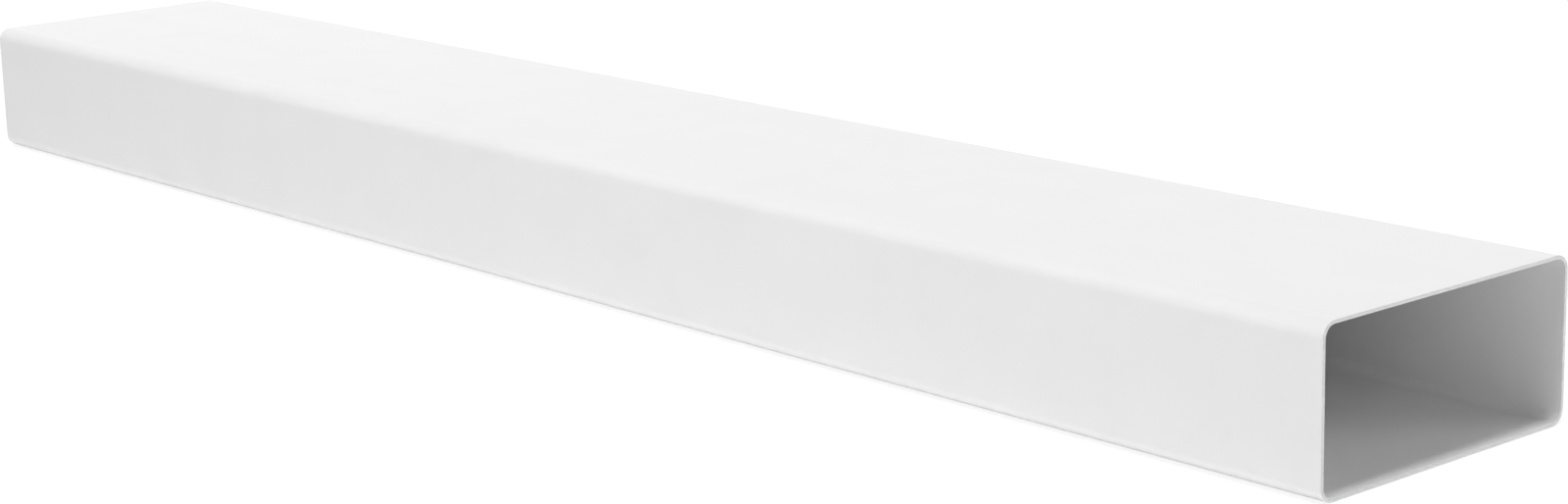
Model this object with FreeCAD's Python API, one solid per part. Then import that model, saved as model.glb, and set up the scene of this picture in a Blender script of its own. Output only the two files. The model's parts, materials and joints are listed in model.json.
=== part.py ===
import FreeCAD, Part
import os

# Flat channel duct: one length of rectangular ventilation duct, extruded in rigid white PVC
# and sawn square at both ends. It lies on a broad face, with X along its length, Y across its
# width and Z up. The origin is at the middle of its underside. All sizes are in millimetres.

# Driving dimensions
LENGTH = 1000.0        # between the two sawn ends
WIDTH = 150.0          # outside, over the two narrow walls
HEIGHT = 70.0          # outside, over the two broad walls
WALL = 1.6             # the same on all four sides
CORNER_RADIUS = 6.8    # outside, along the four long corners
EDGE_BREAK = 0.2       # chamfer that takes the saw's burr off the end edges

X_AXIS = FreeCAD.Vector(1, 0, 0)


def point(y, z):
    """A point of the section, in the plane of the sawn end at the low end of X."""
    return FreeCAD.Vector(-LENGTH / 2, y, z)


def corner_arc(centre_y, centre_z, radius, side_y, side_z):
    """The quarter round of one corner, from its narrow wall to its broad wall."""
    diagonal = radius / 2 ** 0.5
    on_narrow_wall = point(centre_y + side_y * radius, centre_z)
    midway = point(centre_y + side_y * diagonal, centre_z + side_z * diagonal)
    on_broad_wall = point(centre_y, centre_z + side_z * radius)
    return Part.Arc(on_narrow_wall, midway, on_broad_wall).toShape()


def section_outline(inset):
    """The section's rounded rectangle, that far inside the outer surface.

    The corner centres stay where they are, so the walls keep their thickness round the corners.
    """
    radius = CORNER_RADIUS - inset
    centre_y = WIDTH / 2 - CORNER_RADIUS
    low_z = CORNER_RADIUS
    high_z = HEIGHT - CORNER_RADIUS

    corners = [
        corner_arc(side_y * centre_y, centre_z, radius, side_y, side_z)
        for side_y in (-1, 1)
        for centre_z, side_z in ((low_z, -1), (high_z, 1))
    ]
    narrow_walls = [
        Part.makeLine(point(y, low_z), point(y, high_z))
        for y in (-centre_y - radius, centre_y + radius)
    ]
    broad_walls = [
        Part.makeLine(point(-centre_y, z), point(centre_y, z))
        for z in (low_z - radius, high_z + radius)
    ]
    edges = corners + narrow_walls + broad_walls
    return Part.Wire(Part.__sortEdges__(edges))


def extruded_channel():
    """The section between its outer and inner outlines, drawn out along the length."""
    outlines = [section_outline(0.0), section_outline(WALL)]
    section = Part.makeFace(outlines, "Part::FaceMakerBullseye")
    return section.extrude(X_AXIS * LENGTH)


def deburred(channel):
    """The channel with the outer and inner edges of both sawn ends broken."""
    end_edges = [
        edge
        for face in channel.Faces
        if abs(face.normalAt(0, 0).dot(X_AXIS)) > 0.5
        for edge in face.Edges
    ]
    return channel.makeChamfer(EDGE_BREAK, end_edges)


def main():
    duct = deburred(extruded_channel())
    os.makedirs("parts", exist_ok=True)
    duct.exportStep("parts/duct_channel.step")

    box = duct.BoundBox
    print(f"duct_channel: {box.XLength:.2f} x {box.YLength:.2f} x {box.ZLength:.2f} mm, "
          f"{len(duct.Solids)} solid, {len(duct.Faces)} faces, "
          f"valid {duct.isValid()}, {duct.Volume / 1000:.2f} cm3")


main()
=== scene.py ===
# %% [markdown]
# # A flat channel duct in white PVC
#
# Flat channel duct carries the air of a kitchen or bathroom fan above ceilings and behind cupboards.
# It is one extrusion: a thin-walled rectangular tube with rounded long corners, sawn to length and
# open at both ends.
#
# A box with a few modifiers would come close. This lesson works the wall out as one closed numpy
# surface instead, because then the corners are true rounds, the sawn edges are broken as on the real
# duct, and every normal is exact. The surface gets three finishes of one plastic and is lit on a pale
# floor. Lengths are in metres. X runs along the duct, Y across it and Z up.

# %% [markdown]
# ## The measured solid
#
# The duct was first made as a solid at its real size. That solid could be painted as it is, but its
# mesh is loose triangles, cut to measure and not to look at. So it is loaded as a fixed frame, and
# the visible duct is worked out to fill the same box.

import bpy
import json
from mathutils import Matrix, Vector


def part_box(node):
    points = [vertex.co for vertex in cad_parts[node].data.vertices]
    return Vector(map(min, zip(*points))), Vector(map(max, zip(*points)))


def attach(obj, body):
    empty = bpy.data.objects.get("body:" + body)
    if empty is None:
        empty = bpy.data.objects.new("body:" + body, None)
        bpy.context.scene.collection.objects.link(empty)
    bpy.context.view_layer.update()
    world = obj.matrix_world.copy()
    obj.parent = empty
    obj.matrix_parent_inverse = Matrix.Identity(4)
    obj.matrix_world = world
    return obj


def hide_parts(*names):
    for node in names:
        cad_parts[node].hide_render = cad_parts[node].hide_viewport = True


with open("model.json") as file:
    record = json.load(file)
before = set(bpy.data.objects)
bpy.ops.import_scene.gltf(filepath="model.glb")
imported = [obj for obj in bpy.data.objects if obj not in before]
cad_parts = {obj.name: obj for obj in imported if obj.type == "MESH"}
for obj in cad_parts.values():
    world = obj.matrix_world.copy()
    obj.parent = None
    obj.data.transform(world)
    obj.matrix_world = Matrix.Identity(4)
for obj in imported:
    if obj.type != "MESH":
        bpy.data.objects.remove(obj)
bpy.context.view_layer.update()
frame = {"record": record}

# %% [markdown]
# ## Sizes
#
# The duct is a stock size: 150 by 70 mm outside, in a length of a metre. Those sizes could be typed
# in again, but read from the solid they can't drift away from it. Only three are written here,
# because a box doesn't show them: how thick the wall is, how round the long corners are outside, and
# how much the burr knife took off the sawn edges.

# %% Sizes of the duct
import numpy as np

low_corner, high_corner = (np.array(corner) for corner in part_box("duct_channel"))
LENGTH, WIDTH, HEIGHT = high_corner - low_corner
FLOOR_LEVEL = low_corner[2]
MIDDLE_LEVEL = FLOOR_LEVEL + HEIGHT / 2
WALL = 0.0016
CORNER_RADIUS = 0.0068
EDGE_BREAK = 0.0002
print(f"duct: {LENGTH:.3f} long, {WIDTH:.3f} wide, {HEIGHT:.3f} high")

# %% [markdown]
# ## One outline, used twice
#
# The die gives the duct its section, a rounded rectangle. Sliced lengthwise, the wall is a rounded
# rectangle too, very long and thin, whose corners are the broken saw edges. A bevelled plane would
# give both outlines, but not their normals. Here one function gives points and normals together, so
# the flat walls stay flat right up to the rounds.


# %% A rounded rectangle with its normals
def rounded_rectangle(length, height, radius, long_steps, short_steps, corner_steps):
    """Points and outward normals of a rounded rectangle about the origin, as two (n, 2) arrays.

    On corner k the angle a goes from k to k + 1 quarter turns. The normal is (cos a, sin a), and the
    point is the corner's centre plus the radius times the normal. The straight side after it goes in
    even steps to the start of the next corner, and keeps the normal that this corner ended with.
    """
    angle = (np.arange(4)[:, None] + np.linspace(0, 1, corner_steps + 1)) * np.pi / 2
    corner_normal = np.stack([np.cos(angle), np.sin(angle)], axis=-1)
    quadrant = np.array([(1, 1), (-1, 1), (-1, -1), (1, -1)])
    centre = quadrant * (length / 2 - radius, height / 2 - radius)
    corner = centre[:, None] + radius * corner_normal

    points, normals = [], []
    for k, steps in enumerate([long_steps, short_steps] * 2):
        side = np.linspace(corner[k, -1], corner[(k + 1) % 4, 0], steps + 1)[1:-1]
        points += [corner[k], side]
        normals += [corner_normal[k], np.broadcast_to(corner_normal[k, -1], side.shape)]
    return np.concatenate(points), np.concatenate(normals)


section, section_normal = rounded_rectangle(
    WIDTH, HEIGHT, CORNER_RADIUS, long_steps=20, short_steps=10, corner_steps=14
)
wall_slice, slice_normal = rounded_rectangle(
    LENGTH, WALL, EDGE_BREAK, long_steps=80, short_steps=4, corner_steps=4
)
print(f"points of the section: {len(section)}, and of the wall's slice: {len(wall_slice)}")

# %% [markdown]
# ## The wall, carried round the section
#
# Real duct is pushed through the die lengthwise. A mesh could be extruded in the same way, but then
# the broken edges at both ends would have to be cut afterwards. So the wall's slice is carried once
# round the section instead, like a bead round a picture frame. Its thickness is laid off along the
# section's normal, which makes the inner corners concentric with the outer ones, as the die does.
# Both outlines are closed, so the surface closes on itself with no seam and no pole.


# %% The wall as one closed surface
def carried_round(profile, profile_normal, path, path_normal):
    """Points and normals of a closed profile carried round a closed path, as (rows, columns, 3).

    The point at row i and column j has its X from the profile's point i. Its Y and Z are the path's
    point j plus the profile's rise times the path's normal. The normals are put together likewise.
    """
    along, rise = profile[:, None, :1], profile[:, None, 1:]
    lean, lift = profile_normal[:, None, :1], profile_normal[:, None, 1:]
    columns = np.ones((1, len(path), 1))
    points = np.concatenate([along * columns, path + rise * path_normal], axis=-1)
    normals = np.concatenate([lean * columns, lift * path_normal], axis=-1)
    return points, normals


slice_under_skin = wall_slice - (0, WALL / 2)
grid, grid_normal = carried_round(slice_under_skin, slice_normal, section, section_normal)
grid[..., 2] += MIDDLE_LEVEL
rows, columns = grid.shape[:2]
points = grid.reshape(-1, 3)
normals = grid_normal.reshape(-1, 3)
print(f"wall: {rows} rows of {columns} points")

# %% [markdown]
# ## Faces, and a test with the scales
#
# Four neighbours on the grid make a face. Blender can recalculate normals that point the wrong way,
# but it is better to know that they are right. The volume inside the faces is a good test: it comes
# out negative if they point inwards, and times the density of PVC it has to give the duct's weight.


# %% Faces of the wall
def ring_quads(rows, columns):
    """Point numbers of the four-sided faces of a grid that closes on itself in both directions."""
    here = np.arange(rows * columns).reshape(rows, columns)
    next_row = np.roll(here, -1, axis=0)
    next_column = np.roll(here, -1, axis=1)
    opposite = np.roll(next_row, -1, axis=1)
    return np.stack([here, next_row, opposite, next_column], axis=-1).reshape(-1, 4)


def enclosed_volume(points, quads):
    """Volume inside closed faces: the sum of the pyramids from the origin to each face.

    A face's area vector is half the cross product of its diagonals. The pyramid on it holds a third
    of the area vector times the face's middle.
    """
    a, b, c, d = (points[quads[:, k]] for k in range(4))
    area = np.cross(c - a, d - b) / 2
    middle = (a + b + c + d) / 4
    return np.sum(area * middle) / 3


PVC_DENSITY = 1400.0
quads = ring_quads(rows, columns)
plastic = enclosed_volume(points, quads)
print(f"{len(quads)} faces hold {plastic * 1e6:.1f} cm3 of PVC, {plastic * PVC_DENSITY:.3f} kg")

# %% [markdown]
# ## Three finishes on one piece
#
# Cooled plates smoothed the outside, the bore cooled in the open air, and saw and knife cut the ends.
# The three could be separate meshes, but the duct is one piece, so its faces get three materials
# instead. The slice's normal tells them apart: it leans along the duct wherever a tool has cut,
# and elsewhere it points straight out or straight in.

# %% Faces sorted by finish
OUTSIDE, BORE, CUT_END = range(3)

row_normal = slice_normal + np.roll(slice_normal, -1, axis=0)
is_cut = ~np.isclose(row_normal[:, 0], 0)
row_finish = np.where(is_cut, CUT_END, np.where(row_normal[:, 1] > 0, OUTSIDE, BORE))
face_finish = np.repeat(row_finish, columns)
print("faces outside, in the bore and on the cut ends:", np.bincount(face_finish))

# %% [markdown]
# ## The piece itself
#
# The arrays become one mesh. Blender could average its normals from the faces around each point, but
# that makes flat walls look swollen beside small rounds, so the worked-out normals are stored in the
# mesh. The saw came down from above and changed the wall on its way, so the mesh also stores how far
# through the wall each point lies: from 0 at its upper side to 1 at its lower side, and halfway on an
# upright wall. The piece then takes the solid's place in the frame and its body.

# %% The duct's mesh and object
import bpy

duct_mesh = bpy.data.meshes.new("duct_channel_wall")
duct_mesh.from_pydata(points, [], quads, shade_flat=False)
duct_mesh.polygons.foreach_set("material_index", face_finish)
duct_mesh.normals_split_custom_set_from_vertices(normals)

# As a share of the wall, the height over its middle is 0.5 at its upper side and -0.5 at its lower.
height_share = np.outer(wall_slice[:, 1], section_normal[:, 1]) / WALL
way_through = 0.5 - height_share
stored_way = duct_mesh.attributes.new("way_through", "FLOAT", "POINT")
stored_way.data.foreach_set("value", way_through.ravel())

duct = bpy.data.objects.new("duct_channel_wall", duct_mesh)
bpy.context.scene.collection.objects.link(duct)
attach(duct, "root")
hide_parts("duct_channel")
print("piece:", duct.name, "with", len(duct_mesh.polygons), "faces")

# %% [markdown]
# ## A short way to write nodes
#
# Finishes are made of nodes. They could be placed and linked by hand in the editor, but a script can
# be read again and repeated. Four helpers keep it short: one clears a tree, one adds a node together
# with what feeds it, one does a sum, and one widens the narrow middle of a noise to a wanted range.

# %% Node helpers
NOISE_LOW = 0.3
NOISE_HIGH = 0.7


def empty_tree(owner):
    """The node tree of a material or a world, switched on and cleared."""
    owner.use_nodes = True
    owner.node_tree.nodes.clear()
    return owner.node_tree


def add_node(tree, kind, inputs=(), **settings):
    """A new node. Each of its inputs is given a constant, or is linked to another node's output."""
    node = tree.nodes.new(kind)
    for name, value in settings.items():
        setattr(node, name, value)
    for name, value in dict(inputs).items():
        if isinstance(value, bpy.types.NodeSocket):
            tree.links.new(value, node.inputs[name])
        else:
            node.inputs[name].default_value = value
    return node


def calculated(tree, operation, first, second=0.0):
    """The result of a Math node."""
    return add_node(tree, "ShaderNodeMath", {0: first, 1: second}, operation=operation).outputs[0]


def spread(tree, noise, low, high):
    """A noise, widened from the narrow range that nearly all of it fills to the range low to high."""
    limits = {"From Min": NOISE_LOW, "From Max": NOISE_HIGH, "To Min": low, "To Max": high}
    return add_node(tree, "ShaderNodeMapRange", {"Value": noise, **limits}).outputs["Result"]


print("node helpers are ready")

# %% [markdown]
# ## A short way to write groups
#
# Some effects belong to several finishes, because they come from the die or from the resin. Their
# nodes could be copied into each material, but then a change would have to be made in every copy. A
# node group is built once, with named sockets, and each material places it with its own values.

# %% Group helper
VALUE, VECTOR = "NodeSocketFloat", "NodeSocketVector"


def new_group(name, inputs, outputs):
    """A node group with named sockets: its tree, the node that gives, and the node that takes."""
    tree = bpy.data.node_groups.new(name, "ShaderNodeTree")
    for socket_name, kind in inputs:
        tree.interface.new_socket(socket_name, in_out="INPUT", socket_type=kind)
    for socket_name, kind in outputs:
        tree.interface.new_socket(socket_name, in_out="OUTPUT", socket_type=kind)
    return tree, tree.nodes.new("NodeGroupInput"), tree.nodes.new("NodeGroupOutput")


print("group helper is ready")

# %% [markdown]
# ## Die lines
#
# Tiny nicks in the lips of the die rule faint straight lines along an extrusion, which show where
# light grazes it. A Wave texture could draw lines, but all alike. Noise in a space that is squeezed
# along X makes lines of uneven depth and spacing, which run on for a long way and slowly die out.

# %% Group: die lines
LENGTHWISE_SQUEEZE = 0.004

die_lines, given, made = new_group(
    "die_lines", inputs=[("Place", VECTOR), ("Lines per metre", VALUE)], outputs=[("Height", VALUE)]
)
squeezed = add_node(
    die_lines,
    "ShaderNodeVectorMath",
    {0: given.outputs["Place"], 1: (LENGTHWISE_SQUEEZE, 1, 1)},
    operation="MULTIPLY",
)
lines = add_node(
    die_lines,
    "ShaderNodeTexNoise",
    {
        "Vector": squeezed.outputs["Vector"],
        "Scale": given.outputs["Lines per metre"],
        "Detail": 3.0,
        "Roughness": 0.6,
    },
)
die_lines.links.new(lines.outputs["Fac"], made.inputs["Height"])
print("group:", die_lines.name)

# %% [markdown]
# ## Mottle of the resin
#
# White PVC is resin with chalk and a white pigment, and it never mixes quite evenly. Patches a few
# centimetres wide differ by a hair in tone, and a fine grain takes the glassiness off the skin. One
# noise with many octaves would hold both, but the finishes need them apart: the patches for the tone
# and the grain for the bump. So the group has two noises, each with its own size.

# %% Group: resin mottle
resin_mottle, given, made = new_group(
    "resin_mottle",
    inputs=[("Place", VECTOR), ("Patch size", VALUE), ("Grain size", VALUE)],
    outputs=[("Patches", VALUE), ("Grain", VALUE)],
)
for size, output in (("Patch size", "Patches"), ("Grain size", "Grain")):
    per_metre = calculated(resin_mottle, "DIVIDE", 1.0, given.outputs[size])
    noise = add_node(
        resin_mottle,
        "ShaderNodeTexNoise",
        {"Vector": given.outputs["Place"], "Scale": per_metre, "Detail": 2.0},
    )
    resin_mottle.links.new(noise.outputs["Fac"], made.inputs[output])
print("group:", resin_mottle.name)

# %% [markdown]
# ## The plastic
#
# All three finishes are the same white resin. Its colour could be typed in, but it is read from the
# record of the part, so that the two can't disagree. A tone a little under 1 dulls it from place to
# place. A Mix of two whites would do that too, but turning down the value can't tint it. Tone,
# roughness and relief differ between the finishes, so those three are passed in.

# %% White PVC
PVC_REFRACTION = 1.53
GRAIN_SIZE = 0.0007

slot_colour = {material["slot"]: material["base_color"] for material in frame["record"]["materials"]}
WHITE = (*slot_colour["white_pvc"], 1.0)


def mottled(tree, place, patch_size):
    """The resin mottle, as a node of this material."""
    sizes = {"Patch size": patch_size, "Grain size": GRAIN_SIZE}
    return add_node(tree, "ShaderNodeGroup", {"Place": place, **sizes}, node_tree=resin_mottle)


def add_white_pvc(tree, tone, roughness, normal):
    """The shader of the white resin, and the material's output."""
    white = add_node(tree, "ShaderNodeHueSaturation", {"Color": WHITE, "Value": tone})
    plastic = add_node(
        tree,
        "ShaderNodeBsdfPrincipled",
        {
            "Base Color": white.outputs["Color"],
            "Roughness": roughness,
            "IOR": PVC_REFRACTION,
            "Normal": normal,
        },
    )
    add_node(tree, "ShaderNodeOutputMaterial", {"Surface": plastic.outputs["BSDF"]})


print("white of the resin:", WHITE)

# %% [markdown]
# ## Outside and bore
#
# Outside, the plates that size the hot duct leave an even satin. The bore touches nothing while it
# cools, so it is duller, and its die lines are closer and deeper. That relief is a few thousandths of
# a millimetre. As geometry it would take millions of faces, so it is a bump: first the grain, then
# the lines on top of it. The lines also shift the shine a little, as they do on the real duct.

# %% Materials: outside and bore
PATCH_SIZE = 0.03
DULLEST_PATCH = 0.985
GRAIN_DEPTH = 0.000004


def extruded_pvc(name, lines_per_metre, line_depth, smoothest, roughest):
    """White PVC as it comes from the die, with its lines along X."""
    material = bpy.data.materials.new(name)
    tree = empty_tree(material)
    place = add_node(tree, "ShaderNodeTexCoord").outputs["Object"]
    mottle = mottled(tree, place, PATCH_SIZE)
    ruled = add_node(
        tree,
        "ShaderNodeGroup",
        {"Place": place, "Lines per metre": lines_per_metre},
        node_tree=die_lines,
    ).outputs["Height"]
    grained = add_node(
        tree, "ShaderNodeBump", {"Height": mottle.outputs["Grain"], "Distance": GRAIN_DEPTH}
    )
    relief = add_node(
        tree,
        "ShaderNodeBump",
        {"Height": ruled, "Distance": line_depth, "Normal": grained.outputs["Normal"]},
    )
    tone = spread(tree, mottle.outputs["Patches"], DULLEST_PATCH, 1.0)
    roughness = spread(tree, ruled, smoothest, roughest)
    add_white_pvc(tree, tone, roughness, relief.outputs["Normal"])
    return material


outside_pvc = extruded_pvc(
    "outside_pvc", lines_per_metre=260.0, line_depth=0.00001, smoothest=0.36, roughest=0.46
)
bore_pvc = extruded_pvc(
    "bore_pvc", lines_per_metre=420.0, line_depth=0.000016, smoothest=0.5, roughest=0.62
)
print("materials:", outside_pvc.name, bore_pvc.name)

# %% [markdown]
# ## Scores of the saw
#
# A circular saw comes down through the duct, and every tooth scores the same arc, one small step of
# the feed further down. Rings from a Wave texture would look alike, but they share one centre and
# one spacing. So the nodes work out how high the blade's centre stood when its rim passed each
# place, and a noise of that height alone draws the scores.

# %% Scores of the saw
BLADE_RADIUS = 0.15
BLADE_SIDESTEP = 0.03
SCORES_PER_METRE = 1100.0


def saw_scores(tree, place):
    """A noise of the blade's height at its cut: height = z + sqrt(radius^2 - (y - sidestep)^2)."""
    spot = add_node(tree, "ShaderNodeSeparateXYZ", {"Vector": place})
    sideways = calculated(tree, "SUBTRACT", spot.outputs["Y"], BLADE_SIDESTEP)
    squared = calculated(tree, "MULTIPLY", sideways, sideways)
    above = calculated(tree, "SQRT", calculated(tree, "SUBTRACT", BLADE_RADIUS**2, squared))
    height = calculated(tree, "ADD", spot.outputs["Z"], above)
    return add_node(
        tree,
        "ShaderNodeTexNoise",
        {"W": height, "Scale": SCORES_PER_METRE, "Detail": 2.0},
        noise_dimensions="1D",
    ).outputs["Fac"]


print(f"scores of the saw: about {1000 / SCORES_PER_METRE:.1f} mm apart")

# %% [markdown]
# ## The cut ends
#
# A sawn face is dull, and its scores carry painted shade: the tone is darker in their grooves. Where
# the teeth broke out of a wall, which is into the bore at the top and outside at the bottom, the
# plastic is torn pale along a ragged edge. That edge could be a thin strip of geometry, but it is
# only a change of tone. So the nodes read the way through the wall that is stored in the mesh, and
# flecks of noise shift where the pale edge starts.

# %% Material: cut ends
FLECK_SIZE = 0.004
SCORE_DEPTH = 0.00006
# Painted shade in the saw's scores: the tone of their grooves, with that of their ridges below.
SHADED_GROOVE_TONE = 0.88
PALEST_SCORE = 0.98
TORN_FROM = 0.45
TORN_FULLY = 0.65
RAGGEDNESS = 0.25


def sawn_pvc(name, smoothest, roughest):
    """White PVC as the saw leaves it: scored and dull, and torn pale where the teeth came out."""
    material = bpy.data.materials.new(name)
    tree = empty_tree(material)
    place = add_node(tree, "ShaderNodeTexCoord").outputs["Object"]
    way = add_node(tree, "ShaderNodeAttribute", attribute_name="way_through").outputs["Fac"]
    mottle = mottled(tree, place, FLECK_SIZE)
    scores = saw_scores(tree, place)
    relief = add_node(tree, "ShaderNodeBump", {"Height": scores, "Distance": SCORE_DEPTH})
    # Painted shade: the tone is darker in the grooves of the saw's scores, where the bump is low.
    groove_shade = spread(tree, scores, SHADED_GROOVE_TONE, PALEST_SCORE)
    shift = spread(tree, mottle.outputs["Patches"], -RAGGEDNESS, RAGGEDNESS)
    torn = {"From Min": TORN_FROM, "From Max": TORN_FULLY, "To Min": groove_shade, "To Max": 1.0}
    ragged_way = calculated(tree, "ADD", way, shift)
    tone = add_node(tree, "ShaderNodeMapRange", {"Value": ragged_way, **torn}).outputs["Result"]
    roughness = spread(tree, mottle.outputs["Grain"], smoothest, roughest)
    add_white_pvc(tree, tone, roughness, relief.outputs["Normal"])
    return material


cut_pvc = sawn_pvc("cut_pvc", smoothest=0.58, roughest=0.72)
# The order is that of OUTSIDE, BORE and CUT_END.
for material in (outside_pvc, bore_pvc, cut_pvc):
    duct_mesh.materials.append(material)
print("materials on the duct:", [material.name for material in duct_mesh.materials])

# %% [markdown]
# ## What the camera sees as white
#
# Product pictures stand on pure white. More light would get there too, but it would bleach the duct.
# Light Path tells the rays that are seen, straight or in a reflection, from those that carry light
# from one surface to another. The floor and the sky can then look whiter than they shine.


# %% Rays that are seen
def seen_rays(tree):
    """1 for a ray from the camera, off a glossy surface or through glass, and 0 for any other."""
    path = add_node(tree, "ShaderNodeLightPath")
    gloss_or_camera = calculated(
        tree, "MAXIMUM", path.outputs["Is Camera Ray"], path.outputs["Is Glossy Ray"]
    )
    return calculated(tree, "MAXIMUM", gloss_or_camera, path.outputs["Is Transmission Ray"])


print("ray helper is ready")

# %% [markdown]
# ## The floor
#
# The duct lies on a plain pale floor. A disc or a curved backdrop would do as well, but one square
# face is enough if it is so large that its edges stay out of the picture from any side. It lies a
# hair below the duct, so that the two surfaces don't coincide.

# %% Floor
FLOOR_HALF_WIDTH = 12.0
FLOOR_GAP = 0.0001

floor_corners = np.array([(-1, -1, 0), (1, -1, 0), (1, 1, 0), (-1, 1, 0)]) * FLOOR_HALF_WIDTH
floor_corners[:, 2] = FLOOR_LEVEL - FLOOR_GAP
floor_mesh = bpy.data.meshes.new("floor")
floor_mesh.from_pydata(floor_corners, [], [(0, 1, 2, 3)])
floor = bpy.data.objects.new("floor", floor_mesh)
bpy.context.scene.collection.objects.link(floor)
print(f"floor: {2 * FLOOR_HALF_WIDTH:.0f} m square")

# %% [markdown]
# ## Paint of the floor
#
# White paint throws back most of the light, and it takes the duct's shadow. Plain diffuse paint would
# look grey in the picture, because the lamps are set for the duct. So where the floor is seen, only a
# share of its tone follows the light, and the rest is a plain white glow. The shadow stays, soft and
# faint, and the light that the floor sends to the duct is that of the paint alone.

# %% Material: floor
FLOOR_TONE = 0.92
SHADED_SHARE = 0.25
FLOOR_GLOW = 0.84

floor_paint = bpy.data.materials.new("floor_paint")
tree = empty_tree(floor_paint)
seen = seen_rays(tree)
tones = {"To Min": FLOOR_TONE, "To Max": FLOOR_TONE * SHADED_SHARE}
lit_tone = add_node(tree, "ShaderNodeMapRange", {"Value": seen, **tones})
matt = add_node(tree, "ShaderNodeBsdfDiffuse", {"Color": lit_tone.outputs["Result"]})
glow_strength = calculated(tree, "MULTIPLY", seen, FLOOR_GLOW)
glow = add_node(tree, "ShaderNodeEmission", {"Strength": glow_strength})
both = add_node(tree, "ShaderNodeAddShader", {0: matt.outputs["BSDF"], 1: glow.outputs["Emission"]})
add_node(tree, "ShaderNodeOutputMaterial", {"Surface": both.outputs["Shader"]})
floor_mesh.materials.append(floor_paint)
print("material on the floor:", floor_paint.name)

# %% [markdown]
# ## The room's own light
#
# A studio's pale walls send soft light in from the sides, and its ceiling is dim above the lamps. An
# even world would light the bore and the underside as strongly as the top, and the shape would go
# flat. So the world fades from bright at the horizon to dim overhead. Where it is seen, it is white.

# %% World
WALL_LIGHT = 0.7
CEILING_LIGHT = 0.1
WALL_TOP = 0.25
CEILING_EDGE = 0.45
SEEN_WHITE = 1.0

world = bpy.data.worlds.new("studio")
bpy.context.scene.world = world
tree = empty_tree(world)
direction = add_node(tree, "ShaderNodeTexCoord").outputs["Generated"]
upward = add_node(tree, "ShaderNodeSeparateXYZ", {"Vector": direction}).outputs["Z"]
room = add_node(
    tree,
    "ShaderNodeMapRange",
    {
        "Value": upward,
        "From Min": WALL_TOP,
        "From Max": CEILING_EDGE,
        "To Min": WALL_LIGHT,
        "To Max": CEILING_LIGHT,
    },
    interpolation_type="SMOOTHSTEP",
)
shown = add_node(
    tree,
    "ShaderNodeMapRange",
    {"Value": seen_rays(tree), "To Min": room.outputs["Result"], "To Max": SEEN_WHITE},
)
sky = add_node(
    tree,
    "ShaderNodeBackground",
    {"Color": (1.0, 1.0, 1.0, 1.0), "Strength": shown.outputs["Result"]},
)
add_node(tree, "ShaderNodeOutputWorld", {"Surface": sky.outputs["Background"]})
print("world:", world.name)

# %% [markdown]
# ## The lamp overhead
#
# A large softbox hangs above the duct, a little on the camera's side. As an area lamp it would be
# brighter on the near parts, but the light is even along the top. So it is a sun lamp with a wide
# disc: it gives the bright top, and the soft glow just inside the bottom rim. A sun of strength pi
# makes level white paper look white, and this one gives about two thirds of that. From some sides the
# mirror image of a lamp would burn out on the white skin, so no lamp shows in a reflection.

# %% Lamp overhead
from mathutils import Vector

OVERHEAD_SHARE = 0.67
OVERHEAD_DISC = np.radians(12.5)


def add_lamp(name, kind, place, aim):
    """A lamp object at a place, turned to shine at the point that it aims for, and itself unseen."""
    lamp = bpy.data.objects.new(name, bpy.data.lights.new(name, kind))
    lamp.location = place
    lamp.rotation_euler = (Vector(aim) - Vector(place)).to_track_quat("-Z", "Y").to_euler()
    lamp.visible_camera = False
    lamp.visible_glossy = False
    bpy.context.scene.collection.objects.link(lamp)
    return lamp


overhead = add_lamp("overhead", "SUN", place=(0.03, -0.2, 2.0), aim=(0, 0, 0))
overhead.data.energy = OVERHEAD_SHARE * np.pi
overhead.data.angle = OVERHEAD_DISC
print("lamp overhead:", overhead.name)

# %% [markdown]
# ## Three softboxes
#
# A pale card stands on the floor before the front wall, one softbox lifts the far end of the top, and
# one behind the near end shines into the bore. Lamps are often set by trying watts. Here each has a
# brightness instead, where 1 looks like white paper in plain light, and a lamp of area A then needs
# pi times A times the brightness in watts.


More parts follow.
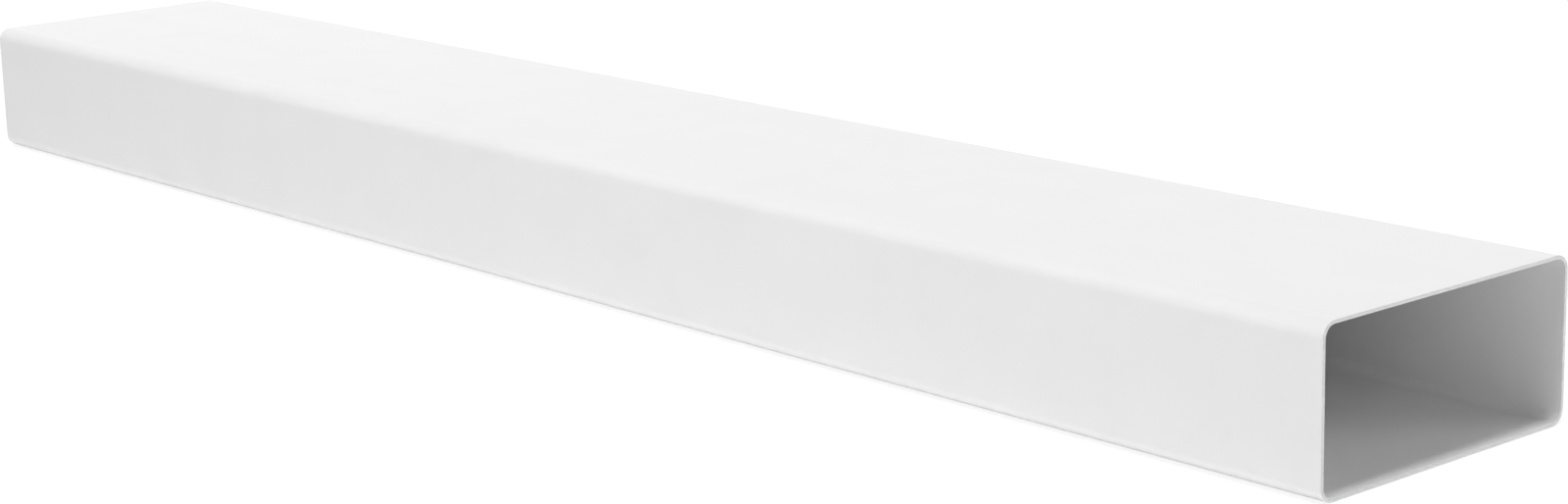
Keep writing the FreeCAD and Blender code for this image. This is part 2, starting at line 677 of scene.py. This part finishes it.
# %% Softboxes
def add_softbox(name, place, aim, width, height, brightness):
    """A rectangular area lamp of even brightness."""
    lamp = add_lamp(name, "AREA", place, aim).data
    lamp.shape = "RECTANGLE"
    lamp.size = width
    lamp.size_y = height
    lamp.energy = brightness * np.pi * width * height


near_end = (LENGTH / 2, 0, MIDDLE_LEVEL)
far_end = (-LENGTH / 2, 0, MIDDLE_LEVEL)
add_softbox(
    "front_card", place=(0.25, -1.0, 0.2), aim=(0.25, 0, 0.2), width=0.7, height=0.4, brightness=2.15
)
add_softbox(
    "far_softbox", place=(-0.7, 0.3, 0.9), aim=far_end, width=0.8, height=0.6, brightness=0.85
)
add_softbox(
    "back_softbox", place=(1.6, 1.6, 0.8), aim=near_end, width=1.2, height=0.9, brightness=3.0
)
print("lamps:", [lamp.name for lamp in bpy.data.lights])

# %% [markdown]
# ## The camera
#
# The picture looks down at the near end from its left, so that the top, the front wall and the bore
# all show. The camera could be set by eye. Here its place, aim, roll and lens were fitted until the
# duct's edges fell on the photographed ones. No shift is used, so that other views stay centred.

# %% Camera
from mathutils import Quaternion

CAMERA_PLACE = Vector((1.2263, -0.9664, 0.37))
CAMERA_AIM = Vector((0.1599, -0.0381, 0.035))
CAMERA_ROLL = np.radians(-1.439)
LENS_MM = 73.95
SENSOR_MM = 36.0

camera_data = bpy.data.cameras.new("camera")
camera_data.lens = LENS_MM
camera_data.sensor_width = SENSOR_MM
camera = bpy.data.objects.new("camera", camera_data)
look = (CAMERA_AIM - CAMERA_PLACE).to_track_quat("-Z", "Y")
camera.location = CAMERA_PLACE
camera.rotation_euler = (look @ Quaternion((0, 0, 1), CAMERA_ROLL)).to_euler()
bpy.context.scene.collection.objects.link(camera)
bpy.context.scene.camera = camera
bpy.context.scene.view_settings.view_transform = "Standard"
print(f"camera: {(CAMERA_AIM - CAMERA_PLACE).length:.2f} m from its aim")

# %% [markdown]
# ## The two boxes
#
# A dressed part must not outgrow the measured one. The two boxes should agree to a hair, because
# the surface was worked out from the solid's own box.

# %% Finish
import json
